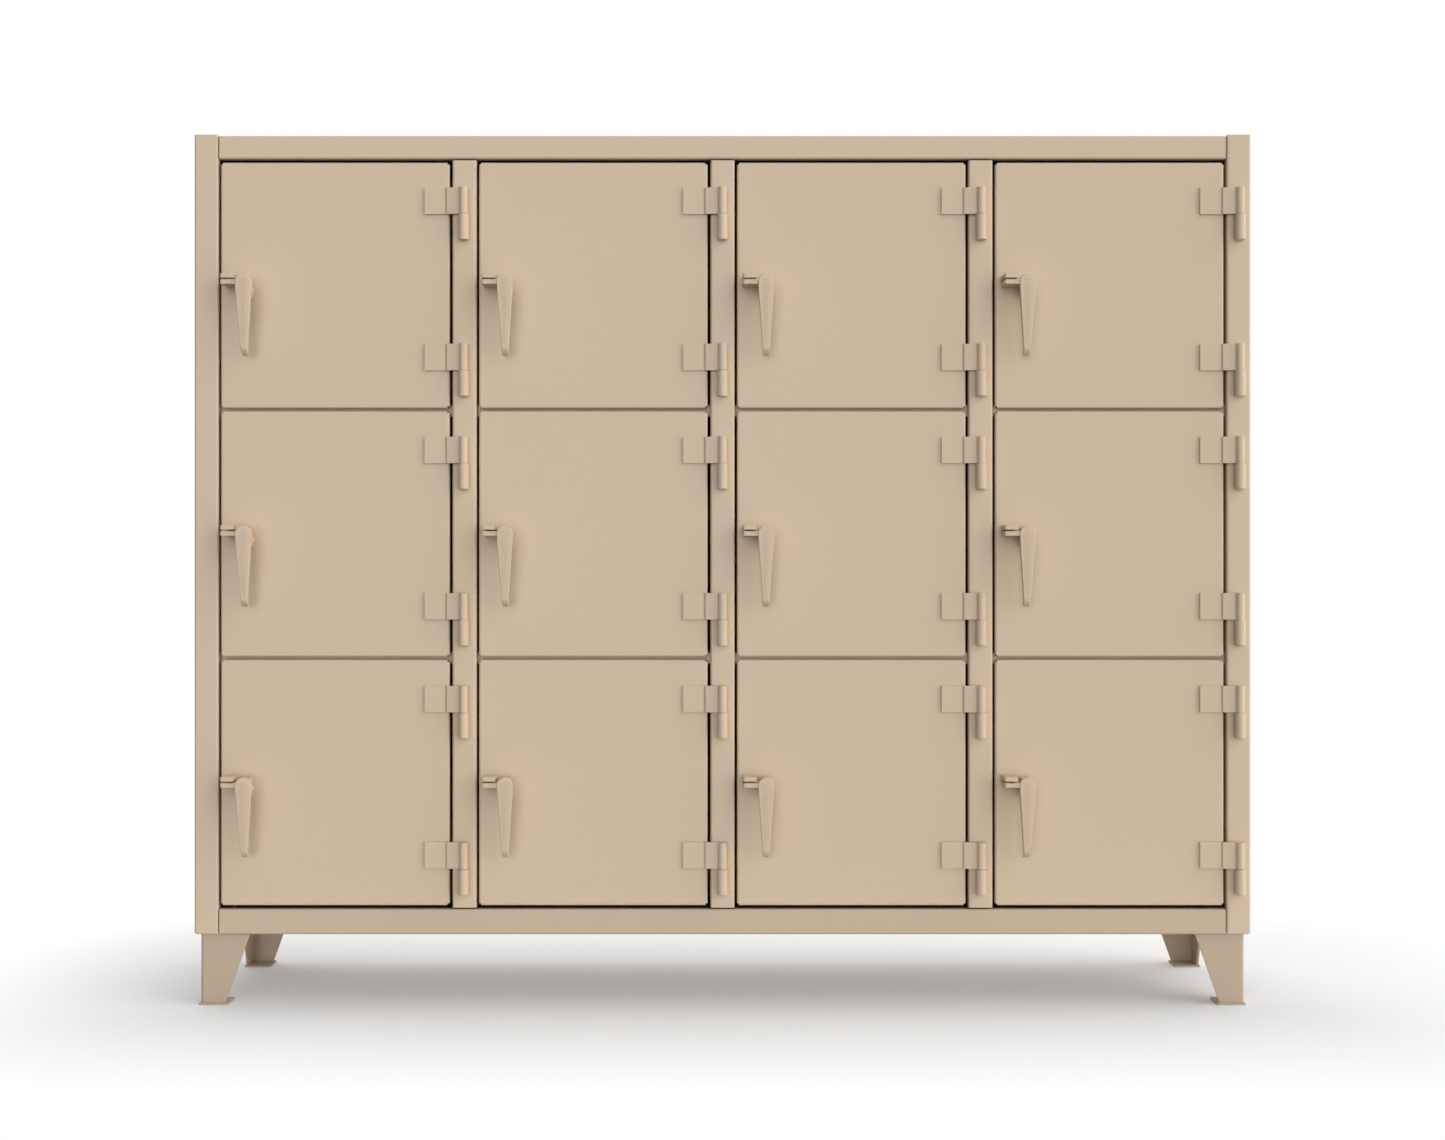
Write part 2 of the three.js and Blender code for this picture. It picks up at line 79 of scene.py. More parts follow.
BEND = 5 * MM
REAR_FLANGE = 25.4 * MM
GAP = 0.3 * MM
HEADER_END_GAP = 2 * MM
DOOR_HINGE_GAP = 6 * MM
DOOR_BEND = 4.4 * MM
DOOR_NOTCH = 4.5 * MM

hinge_at = {}
pivot_at = {}
for joint in frame["joints"]:
    kind, label = joint["child"].split("_", 1)
    (hinge_at if kind == "door" else pivot_at)[label] = Vector(joint["pos_m"])
LABELS = list(hinge_at)
FIRST = LABELS[0]
print("labels:", LABELS)
print("cabinet width", round(2 * HALF_WIDTH, 4), "sheet", round(SHEET, 5), "flange", round(FLANGE, 4))

# %% [markdown]
# ## Tools of the workshop
# Each helper does one thing that is done by hand in Blender: select one piece, enter edit mode,
# choose faces or edges by their place, apply a modifier. Operators act on all that is selected, so
# every helper starts from an empty selection.


# %% Select and edit
def take(piece):
    bpy.ops.object.select_all(action="DESELECT")
    piece.select_set(True)
    bpy.context.view_layer.objects.active = piece


@contextmanager
def editing(piece):
    take(piece)
    bpy.ops.object.mode_set(mode="EDIT")
    bpy.ops.mesh.select_mode(type="VERT")
    bpy.ops.mesh.select_all(action="DESELECT")
    yield
    bpy.ops.object.mode_set(mode="OBJECT")


def choose(piece, kind, test):
    """In edit mode, selects the vertices, edges or faces that pass a test, and nothing else."""
    bpy.ops.mesh.select_mode(type=kind)
    bpy.ops.mesh.select_all(action="DESELECT")
    mesh = bmesh.from_edit_mesh(piece.data)
    items = {"VERT": mesh.verts, "EDGE": mesh.edges, "FACE": mesh.faces}[kind]
    chosen = [item for item in items if test(item)]
    for item in chosen:
        item.select_set(True)
    bmesh.update_edit_mesh(piece.data)
    return len(chosen)


def middle(edge):
    return (edge.verts[0].co + edge.verts[1].co) / 2


def is_fold(edge):
    """True where two faces meet at more than two degrees."""
    return len(edge.link_faces) == 2 and edge.calc_face_angle() > math.radians(2)


def extrude(step):
    bpy.ops.mesh.extrude_region_move(TRANSFORM_OT_translate={"value": step})


# %% Start, change and finish a piece
def begin(name):
    """Names the primitive that was just added and puts its place into its mesh."""
    piece = bpy.context.active_object
    piece.name = piece.data.name = name
    take(piece)
    bpy.ops.object.transform_apply(location=True, rotation=True, scale=True)
    return piece


def block(name, low, high):
    low, high = Vector(low), Vector(high)
    bpy.ops.mesh.primitive_cube_add(size=1, location=(low + high) / 2, scale=high - low)
    return begin(name)


def plate(name, centre, turn, width, length):
    """A flat rectangle. The plane primitive has no scale of its own, so the object gets one."""
    bpy.ops.mesh.primitive_plane_add(size=1, location=centre, rotation=turn)
    bpy.context.active_object.scale = (width, length, 1)
    return begin(name)


AXIS_TURN = {"X": (0, math.pi / 2, 0), "Y": (-math.pi / 2, 0, 0), "Z": (0, 0, 0)}


def rod(name, start, axis, length, radius, sides=48):
    """A cylinder that runs from its start along X, Y or Z."""
    centre = Vector(start)
    centre["XYZ".index(axis)] += length / 2
    turn = AXIS_TURN[axis]
    bpy.ops.mesh.primitive_cylinder_add(
        vertices=sides, radius=radius, depth=length, location=centre, rotation=turn
    )
    return begin(name)


def change(piece, kind, **settings):
    """Adds a modifier and applies it at once."""
    take(piece)
    modifier = piece.modifiers.new(kind.lower(), kind)
    for key, value in settings.items():
        setattr(modifier, key, value)
    bpy.ops.object.modifier_apply(modifier=modifier.name)


def combine(piece, tool, operation="DIFFERENCE"):
    change(piece, "BOOLEAN", operation=operation, object=tool, solver="EXACT")
    bpy.data.objects.remove(tool)


def cut(piece, low, high):
    combine(piece, block("cutter", low, high))


def soften(piece, width, segments=2, angle=35):
    """Breaks the sharp edges, then shades smooth while the large flats stay flat."""
    if width:
        limits = {"limit_method": "ANGLE", "angle_limit": math.radians(angle)}
        change(piece, "BEVEL", width=width, segments=segments, **limits)
    take(piece)
    bpy.ops.object.shade_smooth_by_angle(angle=math.radians(angle))
    change(piece, "WEIGHTED_NORMAL", keep_sharp=True, weight=100)


def copy_to(piece, name, offset):
    take(piece)
    bpy.ops.object.duplicate()
    twin = bpy.context.active_object
    twin.location = offset
    return begin(name)


# %% [markdown]
# ## Camera
# The cabinet is seen straight from the front, from four metres away and at half its height, so
# every upright stays upright.

# %% Camera
EYE_DISTANCE = 3.983
EYE_HEIGHT = 0.915
LENS = 47.28
SENSOR_WIDTH = 36
eye = (0, FRONT - EYE_DISTANCE, EYE_HEIGHT)
bpy.ops.object.camera_add(location=eye, rotation=(math.pi / 2, 0, 0))
camera = bpy.context.active_object
camera.name = "camera"
camera.data.lens = LENS
camera.data.sensor_width = SENSOR_WIDTH
camera.data.sensor_fit = "HORIZONTAL"
bpy.context.scene.camera = camera
print("camera at", tuple(round(v, 3) for v in camera.location))

# %% [markdown]
# ## Writing shader maths as formulas
# A finish is a formula: a base tone, a slow drift, a fine peel. Wires let that formula be written
# with + and *, and each sign adds one Math node. Every other node comes from the method add,
# directly or through a short helper for the kinds that are used often.


# %% Wires and benches
class Wire:
    """One output of a node. Arithmetic on it adds Math nodes."""

    def __init__(self, bench, socket):
        self.bench = bench
        self.socket = socket

    def math(self, operation, first, second):
        return self.bench.add("ShaderNodeMath", {0: first, 1: second}, operation=operation)

    def __add__(self, other):
        return self.math("ADD", self, other)

    def __radd__(self, other):
        return self.math("ADD", other, self)

    def __sub__(self, other):
        return self.math("SUBTRACT", self, other)

    def __rsub__(self, other):
        return self.math("SUBTRACT", other, self)

    def __mul__(self, other):
        return self.math("MULTIPLY", self, other)

    def __rmul__(self, other):
        return self.math("MULTIPLY", other, self)


class Bench:
    """A material in the making."""

    def __init__(self, owner):
        owner.use_nodes = True
        self.tree = owner.node_tree
        self.tree.nodes.clear()

    def add(self, kind, sockets=None, out=0, **settings):
        node = self.tree.nodes.new(kind)
        for key, value in settings.items():
            setattr(node, key, value)
        for key, value in (sockets or {}).items():
            if isinstance(value, Wire):
                self.tree.links.new(value.socket, node.inputs[key])
            else:
                node.inputs[key].default_value = value
        return Wire(self, node.outputs[out]) if node.outputs else node

    def noise(self, place, scale, detail):
        return self.add("ShaderNodeTexNoise", {"Vector": place, "Scale": scale, "Detail": detail})

    def vector(self, operation, *inputs, out=0):
        return self.add("ShaderNodeVectorMath", dict(enumerate(inputs)), out, operation=operation)

    def span(self, value, low, high, from_value, to_value, ease="LINEAR"):
        """Maps low..high onto two other values, and holds them past the ends."""
        limits = {"From Min": low, "From Max": high, "To Min": from_value, "To Max": to_value}
        sockets = {"Value": value, **limits}
        return self.add("ShaderNodeMapRange", sockets, interpolation_type=ease)

    def blend(self, factor, first, second):
        """Mixes two colours."""
        return self.add("ShaderNodeMix", {0: factor, 6: first, 7: second}, out=2, data_type="RGBA")


# %% [markdown]
# ## Powder coat
# The coat is baked polyester powder, about a tenth of a millimetre thick. It flows as it melts, so
# it dries with a shallow orange peel a few millimetres across, with a finer grain on top, and its
# tone drifts very slightly where the film is thicker. Three noises on Object coordinates do that:
# one for the tone, and two that feed a shallow bump and the roughness. The sill and the legs get the
# same coat in darker tones, and that darkening is painted shade: it stands in for the dimmer light
# low on the front, under the sill and near the floor.

# %% Powder coat
SAND_LIGHT = (0.604, 0.472, 0.336, 1)
SAND_DARK = (0.579, 0.448, 0.314, 1)
# The sill tones are the sand tones darkened: painted shade for the dimmer light low on the front.
SILL_SHADED_LIGHT = (0.535, 0.418, 0.298, 1)
SILL_SHADED_DARK = (0.512, 0.396, 0.279, 1)
# The leg tones are darker still: painted shade for legs set back under the sill and near the floor.
LEG_SHADED_LIGHT = (0.475, 0.366, 0.262, 1)
LEG_SHADED_DARK = (0.451, 0.347, 0.246, 1)
SHEET_PEEL = 0.10
LEG_PEEL = 0.14
CAST_PEEL = 0.22
PEEL_SIZE = 0.4 * MM
COAT_ROUGHNESS = 0.36
COAT_SPECULAR = 0.45
# The noises' scales: how many patches each lays along a metre.
DRIFT_SCALE = 2.6
PEEL_SCALE = 330.0
GRAIN_SCALE = 1500.0


def powder_coat(name, light=SAND_LIGHT, dark=SAND_DARK, peel_depth=SHEET_PEEL):
    material = bpy.data.materials.new(name)
    bench = Bench(material)
    place = bench.add("ShaderNodeTexCoord", out="Object")
    drift = bench.noise(place, DRIFT_SCALE, 3.0)
    peel = bench.noise(place, PEEL_SCALE, 1.5)
    grain = bench.noise(place, GRAIN_SCALE, 0.0)
    tone = bench.blend(drift * 0.8 + grain * 0.2, dark, light)
    height = peel + grain * 0.25
    bump = bench.add(
        "ShaderNodeBump", {"Strength": peel_depth, "Distance": PEEL_SIZE, "Height": height}
    )
    shader = bench.add(
        "ShaderNodeBsdfPrincipled",
        {
            "Base Color": tone,
            "Roughness": COAT_ROUGHNESS + drift * 0.10 + peel * 0.08,
            "Specular IOR Level": COAT_SPECULAR,
            "Normal": bump,
        },
    )
    bench.add("ShaderNodeOutputMaterial", {"Surface": shader})
    return material


body_paint = powder_coat("body_powder_coat")
# The sill's coat is darker than the body's: painted shade.
sill_shaded_paint = powder_coat("sill_shaded_powder_coat", SILL_SHADED_LIGHT, SILL_SHADED_DARK)
door_paint = powder_coat("door_powder_coat")
handle_paint = powder_coat("cast_powder_coat", peel_depth=CAST_PEEL)
# The legs' coat is darker still: painted shade.
leg_paint = powder_coat("leg_shaded_powder_coat", LEG_SHADED_LIGHT, LEG_SHADED_DARK, LEG_PEEL)
print("powder coats: body, sill, door, cast, leg")

# %% [markdown]
# ## Zinc plate
# The latch cams, their nuts and the pins aren't painted. They are plated, so they are a cool grey
# metal with a faint cloudy bloom.


# %% Zinc plate
ZINC_DARK = (0.56, 0.57, 0.59, 1)
ZINC_LIGHT = (0.74, 0.75, 0.77, 1)
BLOOM_SCALE = 90.0
SCRATCH_SCALE = 900.0
SCRATCH_DEPTH = 0.12
SCRATCH_SIZE = 0.2 * MM
ZINC_ROUGHNESS = 0.24


def zinc_plate(name):
    material = bpy.data.materials.new(name)
    bench = Bench(material)
    place = bench.add("ShaderNodeTexCoord", out="Object")
    bloom = bench.noise(place, BLOOM_SCALE, 4.0)
    scratch = bench.noise(place, SCRATCH_SCALE, 1.0)
    bump = bench.add(
        "ShaderNodeBump", {"Strength": SCRATCH_DEPTH, "Distance": SCRATCH_SIZE, "Height": scratch}
    )
    shader = bench.add(
        "ShaderNodeBsdfPrincipled",
        {
            "Base Color": bench.blend(bloom, ZINC_DARK, ZINC_LIGHT),
            "Metallic": 1.0,
            "Roughness": ZINC_ROUGHNESS + bloom * 0.22,
            "Normal": bump,
        },
    )
    bench.add("ShaderNodeOutputMaterial", {"Surface": shader})
    return material


zinc = zinc_plate("zinc_plate")


# %% Hand a finished piece over to the frame
def hand_over(piece, body, finish, slot, *stands_for):
    piece.data.materials.clear()
    piece.data.materials.append(finish)
    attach(piece, body)
    if stands_for:
        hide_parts(*stands_for)


# %% [markdown]
# ## Folding sheet steel
# A press brake folds a flat sheet along straight lines, and each fold leaves a round bend. The same
# order works here. One vertex is extruded along the outside of the folded section, that line is
# extruded across the sheet's width, the folds are bevelled to the bend radius, and Solidify gives
# the steel its thickness inwards. A box with bevelled edges would look solid at its cut ends.


# %% Draw a line of points, and fold a sheet along it
def draw_line(name, points):
    """One vertex, extruded from point to point."""
    bpy.ops.mesh.primitive_plane_add(size=MM)
    piece = begin(name)
    with editing(piece):
        bpy.ops.mesh.select_all(action="SELECT")
        bpy.ops.mesh.merge(type="CENTER")
        bpy.ops.transform.translate(value=points[0])
        for before, after in zip(points, points[1:]):
            extrude(Vector(after) - Vector(before))
    return piece


def thicken(piece, spot, outside, thickness, bend, segments=6):
    """Bevels the folds of an open sheet and gives it thickness. Its face at spot looks outside."""
    with editing(piece):
        mesh = bmesh.from_edit_mesh(piece.data)
        mesh.normal_update()
        nearest = min(mesh.faces, key=lambda face: (face.calc_center_median() - spot).length)
        if nearest.normal.dot(Vector(outside)) < 0:
            bpy.ops.mesh.select_all(action="SELECT")
            bpy.ops.mesh.flip_normals()
        if choose(piece, "EDGE", is_fold):
            bpy.ops.mesh.bevel(offset=bend, segments=segments, affect="EDGES")
    change(piece, "SOLIDIFY", thickness=thickness, offset=-1, use_even_offset=True)


def fold_sheet(name, path, width, outside, thickness=SHEET, bend=BEND):
    piece = draw_line(name, path)
    with editing(piece):
        bpy.ops.mesh.select_all(action="SELECT")
        extrude(width)
    spot = (Vector(path[0]) + Vector(path[1]) + Vector(width)) / 2
    thicken(piece, spot, outside, thickness, bend)
    return piece


# %% [markdown]
# ## Side sheets with their posts
# Each side is one sheet. It turns in at the front to make the two-inch post with its return, and at
# the back to make a flange. The return is trimmed where the top and bottom sheets cross it.

# %% Side sheets
CUT_EDGE = 0.35 * MM
EPS = 0.01 * MM
for word, sign in (("left", -1), ("right", 1)):
    outside = sign * HALF_WIDTH
    inner = outside - sign * FRAME_FACE
    points = [
        (inner, FRONT + FLANGE, POST_BOTTOM),
        (inner, FRONT, POST_BOTTOM),
        (outside, FRONT, POST_BOTTOM),
        (outside, BACK, POST_BOTTOM),
        (outside - sign * REAR_FLANGE, BACK, POST_BOTTOM),
    ]
    side = fold_sheet(f"side_sheet_{word}", points, (0, 0, POST_TOP - POST_BOTTOM), (-sign, 0, 0))
    near, far = sorted((inner - sign * MM, outside - sign * (SHEET + BEND)))
    trims = (
        (TOP_SURFACE - SHEET - GAP, POST_TOP + MM),
        (POST_BOTTOM - MM, BOTTOM_SURFACE + SHEET + GAP),
    )
    for low, high in trims:
        cut(side, (near, FRONT + SHEET + EPS, low), (far, FRONT + FLANGE + MM, high))
    soften(side, CUT_EDGE)
    hand_over(side, "cabinet", body_paint, "body_paint", f"side_panel_{word}")
    print(side.name, len(side.data.polygons), "faces")

# %% [markdown]
# ## Top and bottom sheets with header and sill
# The top sheet folds down into the header bar, and the bottom sheet folds up into the sill bar. The
# bars fit between the posts with a small gap that shows as a dark seam, while the sheets behind
# them run on to the sides.


# %% Top and bottom sheets
NOTCH_DEPTH = 200 * MM


def end_sheet(name, node, surface, face_end, up, finish):
    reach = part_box(node)[1].x + GAP
    points = [
        (-reach, BACK, surface + up * REAR_FLANGE),
        (-reach, BACK, surface),
        (-reach, FRONT, surface),
        (-reach, FRONT, face_end),
        (-reach, FRONT + FLANGE, face_end),
    ]
    piece = fold_sheet(name, points, (2 * reach, 0, 0), (0, 1, 0))
    bar_end = HALF_WIDTH - FRAME_FACE - HEADER_END_GAP
    bend_clear = HALF_WIDTH - BEND - GAP
    flange_end = HALF_WIDTH - REAR_FLANGE - GAP
    through = (surface - up * MM, surface + up * NOTCH_DEPTH)
    behind = (surface + up * (SHEET + EPS), surface + up * NOTCH_DEPTH)
    for sign in (-1, 1):
        notches = (
            (bar_end, FRONT - MM, FRONT + SHEET + GAP, through),
            (bar_end, FRONT - MM, FRONT + FLANGE + MM, behind),
            (bend_clear, FRONT - MM, FRONT + BEND + GAP, through),
            (flange_end, BACK - BEND - GAP, BACK + MM, through),
        )
        for start, near, far, height in notches:
            across = sorted((sign * start, sign * (HALF_WIDTH + MM)))
            low, high = sorted(height)
            cut(piece, (across[0], near, low), (across[1], far, high))
    soften(piece, CUT_EDGE)
    hand_over(piece, "cabinet", finish, "body_paint", node)
    print(name, len(piece.data.polygons), "faces")


end_sheet("header_sheet", "top_panel", TOP_SURFACE, OPENING_TOP, -1, body_paint)
# The sill sheet wears the darker coat, painted shade for the dim light low on the front.
end_sheet("sill_sheet", "bottom_panel", BOTTOM_SURFACE, OPENING_BOTTOM, 1, sill_shaded_paint)

# %% [markdown]
# ## Mullions, partitions, shelves and back
# A mullion is a shallow channel between two columns. It stops a little short of header and sill.
# Behind it stands a flat partition, and shelves with turned-down edges close the compartments. The
# partitions and the back are plain flat sheets, so the frame's own nodes stay and are only painted.

# %% Mullions
for index in (1, 2, 3):
    low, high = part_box(f"mullion_{index}")
    points = [
        (low.x, FRONT + FLANGE, low.z),
        (low.x, FRONT, low.z),
        (high.x, FRONT, low.z),
        (high.x, FRONT + FLANGE, low.z),
    ]
    mullion = fold_sheet(f"mullion_channel_{index}", points, (0, 0, high.z - low.z), (-1, 0, 0))
    soften(mullion, CUT_EDGE)
    hand_over(mullion, "cabinet", body_paint, "body_paint", f"mullion_{index}")
print("mullions done")

# %% Shelves
for label in LABELS[: 2 * len(LABELS) // 3]:
    low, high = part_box(f"shelf_{label}")
    points = [
        (low.x, high.y, low.z),
        (low.x, high.y, high.z),
        (low.x, low.y, high.z),
        (low.x, low.y, low.z),
    ]
    tray = fold_sheet(f"shelf_tray_{label}", points, (high.x - low.x, 0, 0), (0, 1, 0))
    soften(tray, CUT_EDGE)
    hand_over(tray, "cabinet", body_paint, "body_paint", f"shelf_{label}")
print("shelves done")

# %% Paint the flat sheets that stay as they are
for name in ("back_panel", "partition_1", "partition_2", "partition_3"):
    for holder in frame["nodes"][name].material_slots:
        holder.material = body_paint

# %% [markdown]
# ## Weld beads
# A hand-laid bead is a row of overlapping ripples. One short disc is extruded ring by ring, and
# every second ring is made smaller, which leaves the ripples in the mesh.


# %% Weld bead
RIPPLE_PITCH = 1.1
RIPPLE_WAIST = 0.82
BEAD_SHARP = math.radians(50)


def bead(name, start, axis, length, radius):
    rings = round(length / (RIPPLE_PITCH * radius))
    step = Vector((0, 0, length / (2 * rings)))
    piece = rod(name, (0, 0, 0), "Z", step.z, radius, sides=10)
    with editing(piece):
        choose(piece, "FACE", lambda face: face.normal.z > 0.9)
        for ring in range(2 * rings - 1):
            extrude(step)
            size = RIPPLE_WAIST if ring % 2 == 0 else 1 / RIPPLE_WAIST
            bpy.ops.transform.resize(value=(size, size, 1))
    piece.rotation_euler = AXIS_TURN[axis]
    piece.location = start
    begin(name)
    take(piece)
    bpy.ops.object.shade_smooth_by_angle(angle=BEAD_SHARP)
    return piece


# %% [markdown]
# ## Stitch welds on the back
# The back sheet lies just inside the flanges of the sides, top and bottom, and is stitch-welded to
# them all the way round. One short bead is laid, turned for the other direction, and copied along
# the seams at an even pitch.

# %% Stitch welds
STITCH_LENGTH = 40 * MM
STITCH_RADIUS = 2 * MM
STITCH_PITCH = 0.27
back_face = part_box("back_panel")[1].y
seam_x = HALF_WIDTH - REAR_FLANGE - GAP
seam_top = TOP_SURFACE - REAR_FLANGE - GAP
seam_bottom = BOTTOM_SURFACE + REAR_FLANGE + GAP


def stitches(low, high):
    """Evenly spread starts for the beads of one seam."""
    count = round((high - low) / STITCH_PITCH)
    pitch = (high - low) / count
    return [low + (index + 0.5) * pitch - STITCH_LENGTH / 2 for index in range(count)]


beads = {}
for axis in "XZ":
    beads[axis] = bead(f"stitch_{axis}", (0, 0, 0), axis, STITCH_LENGTH, STITCH_RADIUS)
spots = []
for z in (seam_bottom, seam_top):
    spots += [("X", Vector((x, back_face, z))) for x in stitches(-seam_x, seam_x)]
for x in (-seam_x, seam_x):
    spots += [("Z", Vector((x, back_face, z))) for z in stitches(seam_bottom, seam_top)]
for index, (axis, spot) in enumerate(spots):
    stitch = copy_to(beads[axis], f"stitch_weld_{index + 1}", spot)
    hand_over(stitch, "cabinet", body_paint, "body_paint")
for model in beads.values():
    bpy.data.objects.remove(model)
print("stitch welds:", len(spots))

# %% [markdown]
# ## Legs
# Each leg is a plate folded to a corner and cut to a taper on both sides, then welded to a drilled
# foot. The taper is made by moving the two lower corners in before the bend is rounded.

# %% Legs
LEG_PLATE = 4.8 * MM
LEG_BEND = 7 * MM
LEG_BOTTOM_WIDTH = 52 * MM
FOOT_THICKNESS = 4 * MM
LEG_TOP_WIDTH = 104 * MM
FOOT_OVERHANG = 3 * MM
FOOT_SIDE = 61 * MM
FOOT_CORNER = 3 * MM
ANCHOR_RADIUS = 6.35 * MM
LEG_EDGE = 0.5 * MM
FOOT_WELD_RADIUS = 2.2 * MM
FOOT_WELD_OFFSET = 0.4 * MM


def leg(word, sign_x, sign_y):
    node = f"leg_{word}"
    low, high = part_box(node)
    outer_x = high.x if sign_x > 0 else low.x
    outer_y = high.y if sign_y > 0 else low.y
    outer = Vector((outer_x, outer_y, FOOT_THICKNESS))
    corner = outer - Vector((sign_x * FOOT_OVERHANG, sign_y * FOOT_OVERHANG, 0))
    along_x = corner - Vector((sign_x * LEG_TOP_WIDTH, 0, 0))
    along_y = corner - Vector((0, sign_y * LEG_TOP_WIDTH, 0))
    angle = draw_line(f"leg_angle_{word}", [along_x, corner, along_y])
    with editing(angle):
        bpy.ops.mesh.select_all(action="SELECT")
        extrude((0, 0, high.z - FOOT_THICKNESS))
        pull = LEG_TOP_WIDTH - LEG_BOTTOM_WIDTH
        for end, step in ((along_x, (sign_x * pull, 0, 0)), (along_y, (0, sign_y * pull, 0))):
            choose(angle, "VERT", lambda vert: (vert.co - end).length < MM)
            bpy.ops.transform.translate(value=step)
    spot = (along_x + corner) / 2 + Vector((0, 0, high.z / 2))
    thicken(angle, spot, (0, sign_y, 0), LEG_PLATE, LEG_BEND)
    soften(angle, LEG_EDGE)
    # The leg wears the darker leg coat, painted shade for the dim light under the sill and near the
    # floor.
    hand_over(angle, "cabinet", leg_paint, "leg_paint", node)

    near_x, far_x = sorted((outer_x, outer_x - sign_x * FOOT_SIDE))
    near_y, far_y = sorted((outer_y, outer_y - sign_y * FOOT_SIDE))
    foot = block(f"foot_plate_{word}", (near_x, near_y, 0), (far_x, far_y, FOOT_THICKNESS))
    with editing(foot):
        choose(foot, "EDGE", lambda edge: abs((edge.verts[0].co - edge.verts[1].co).z) > MM)
        bpy.ops.mesh.bevel(offset=FOOT_CORNER, segments=4, affect="EDGES")
    inset = (LEG_PLATE + LEG_BOTTOM_WIDTH) / 2
    hole = (corner.x - sign_x * inset, corner.y - sign_y * inset, -MM)
    combine(foot, rod("drill", hole, "Z", FOOT_THICKNESS + 2 * MM, ANCHOR_RADIUS))
    soften(foot, LEG_EDGE)
    # The foot and its welds wear the same darker leg coat, which is painted shade.
    hand_over(foot, "cabinet", leg_paint, "leg_paint")

    run = LEG_BOTTOM_WIDTH - LEG_BEND - LEG_PLATE
    edge_x = corner.x - sign_x * (LEG_PLATE + FOOT_WELD_OFFSET)
    edge_y = corner.y - sign_y * (LEG_PLATE + FOOT_WELD_OFFSET)
    start_x = min(corner.x - sign_x * LEG_BEND, corner.x - sign_x * (LEG_BEND + run))
    start_y = min(corner.y - sign_y * LEG_BEND, corner.y - sign_y * (LEG_BEND + run))
    starts = {"X": (start_x, edge_y, FOOT_THICKNESS), "Y": (edge_x, start_y, FOOT_THICKNESS)}
    for axis, start in starts.items():
        weld = bead(f"foot_weld_{axis.lower()}_{word}", start, axis, run, FOOT_WELD_RADIUS)
        hand_over(weld, "cabinet", leg_paint, "leg_paint")


for side_word, sign_x in (("left", -1), ("right", 1)):
    for end_word, sign_y in (("front", -1), ("rear", 1)):
        leg(f"{end_word}_{side_word}", sign_x, sign_y)
print("legs done")

# %% [markdown]
# ## Doors
# A door is a pan: a flat face with four flanges turned back. The sheet is notched at its corners so
# that the flanges can fold, and those small square notches show as dark corners. The first door is
# made once, and the other eleven are copies.

# %% Door pan
first_hinge = hinge_at[FIRST]
first_pivot = pivot_at[FIRST]
DOOR_LEFT, DOOR_BOTTOM, DOOR_TOP = door_low.x, door_low.z, door_high.z
DOOR_RIGHT = first_hinge.x - FRAME_FACE / 2 - DOOR_HINGE_GAP
SPINDLE_HOLE = 7.5 * MM

centre = Vector(((DOOR_LEFT + DOOR_RIGHT) / 2, FRONT, (DOOR_BOTTOM + DOOR_TOP) / 2))
width, height = DOOR_RIGHT - DOOR_LEFT, DOOR_TOP - DOOR_BOTTOM
pan = plate("pan_first", centre, (math.pi / 2, 0, 0), width, height)
inner_x = (DOOR_LEFT + DOOR_NOTCH, DOOR_RIGHT - DOOR_NOTCH)
inner_z = (DOOR_BOTTOM + DOOR_NOTCH, DOOR_TOP - DOOR_NOTCH)


def beyond(value, limits):
    return value < limits[0] or value > limits[1]


def in_corner(face):
    spot = face.calc_center_median()
    return beyond(spot.x, inner_x) and beyond(spot.z, inner_z)


def at_rim(edge):
    """The long edges that get a flange, and not the short sides of the notches."""
    spot = middle(edge)
    long_enough = (edge.verts[0].co - edge.verts[1].co).length > 4 * DOOR_NOTCH
    return long_enough and (beyond(spot.x, inner_x) or beyond(spot.z, inner_z))


with editing(pan):
    for x in inner_x:
        bpy.ops.mesh.select_all(action="SELECT")
        bpy.ops.mesh.bisect(plane_co=(x, 0, 0), plane_no=(1, 0, 0))
    for z in inner_z:
        bpy.ops.mesh.select_all(action="SELECT")
        bpy.ops.mesh.bisect(plane_co=(0, 0, z), plane_no=(0, 0, 1))
    choose(pan, "FACE", in_corner)
    bpy.ops.mesh.delete(type="FACE")
    bpy.ops.mesh.select_all(action="SELECT")
    bpy.ops.mesh.dissolve_limited(angle_limit=math.radians(1))
    rim = choose(pan, "EDGE", at_rim)
    extrude((0, FLANGE, 0))
thicken(pan, centre, (0, -1, 0), SHEET, DOOR_BEND)
hole_start = (first_pivot.x, FRONT - MM, first_pivot.z)
combine(pan, rod("drill", hole_start, "Y", SHEET + 2 * MM, SPINDLE_HOLE))
soften(pan, CUT_EDGE)
print("door pan:", rim, "flanges,", len(pan.data.polygons), "faces")

# %% [markdown]
# ## Hinges
# These are weld-on barrel hinges. The leaf lies flat on the door, cranks out, and ends in the upper
# knuckle, which turns on a pin held by the lower knuckle. The lower knuckle is a little larger, has
# a chamfered end, and is welded straight to the post or mullion.

# %% Hinge leaf with its upper knuckle
LEAF_DROPS = (54.4 * MM, 381.9 * MM)
LEAF_HEIGHT = 55.3 * MM
LEAF_THICKNESS = 6 * MM
LEAF_REACH = 82.3 * MM
CRANK_START = 38.8 * MM
CRANK_STEP = 3.4 * MM
CRANK_END = 8.5 * MM
CRANK_BEND = 1 * MM
LEAF_EDGE = 0.9 * MM
UPPER_RADIUS = 9.5 * MM
LOWER_RADIUS = 11.1 * MM
LOWER_HEIGHT = 54 * MM
KNUCKLE_JOINT = 0.8 * MM
PIN_RADIUS = 6 * MM
PIN_RISE = 40 * MM
PIN_CLEARANCE = 0.15 * MM

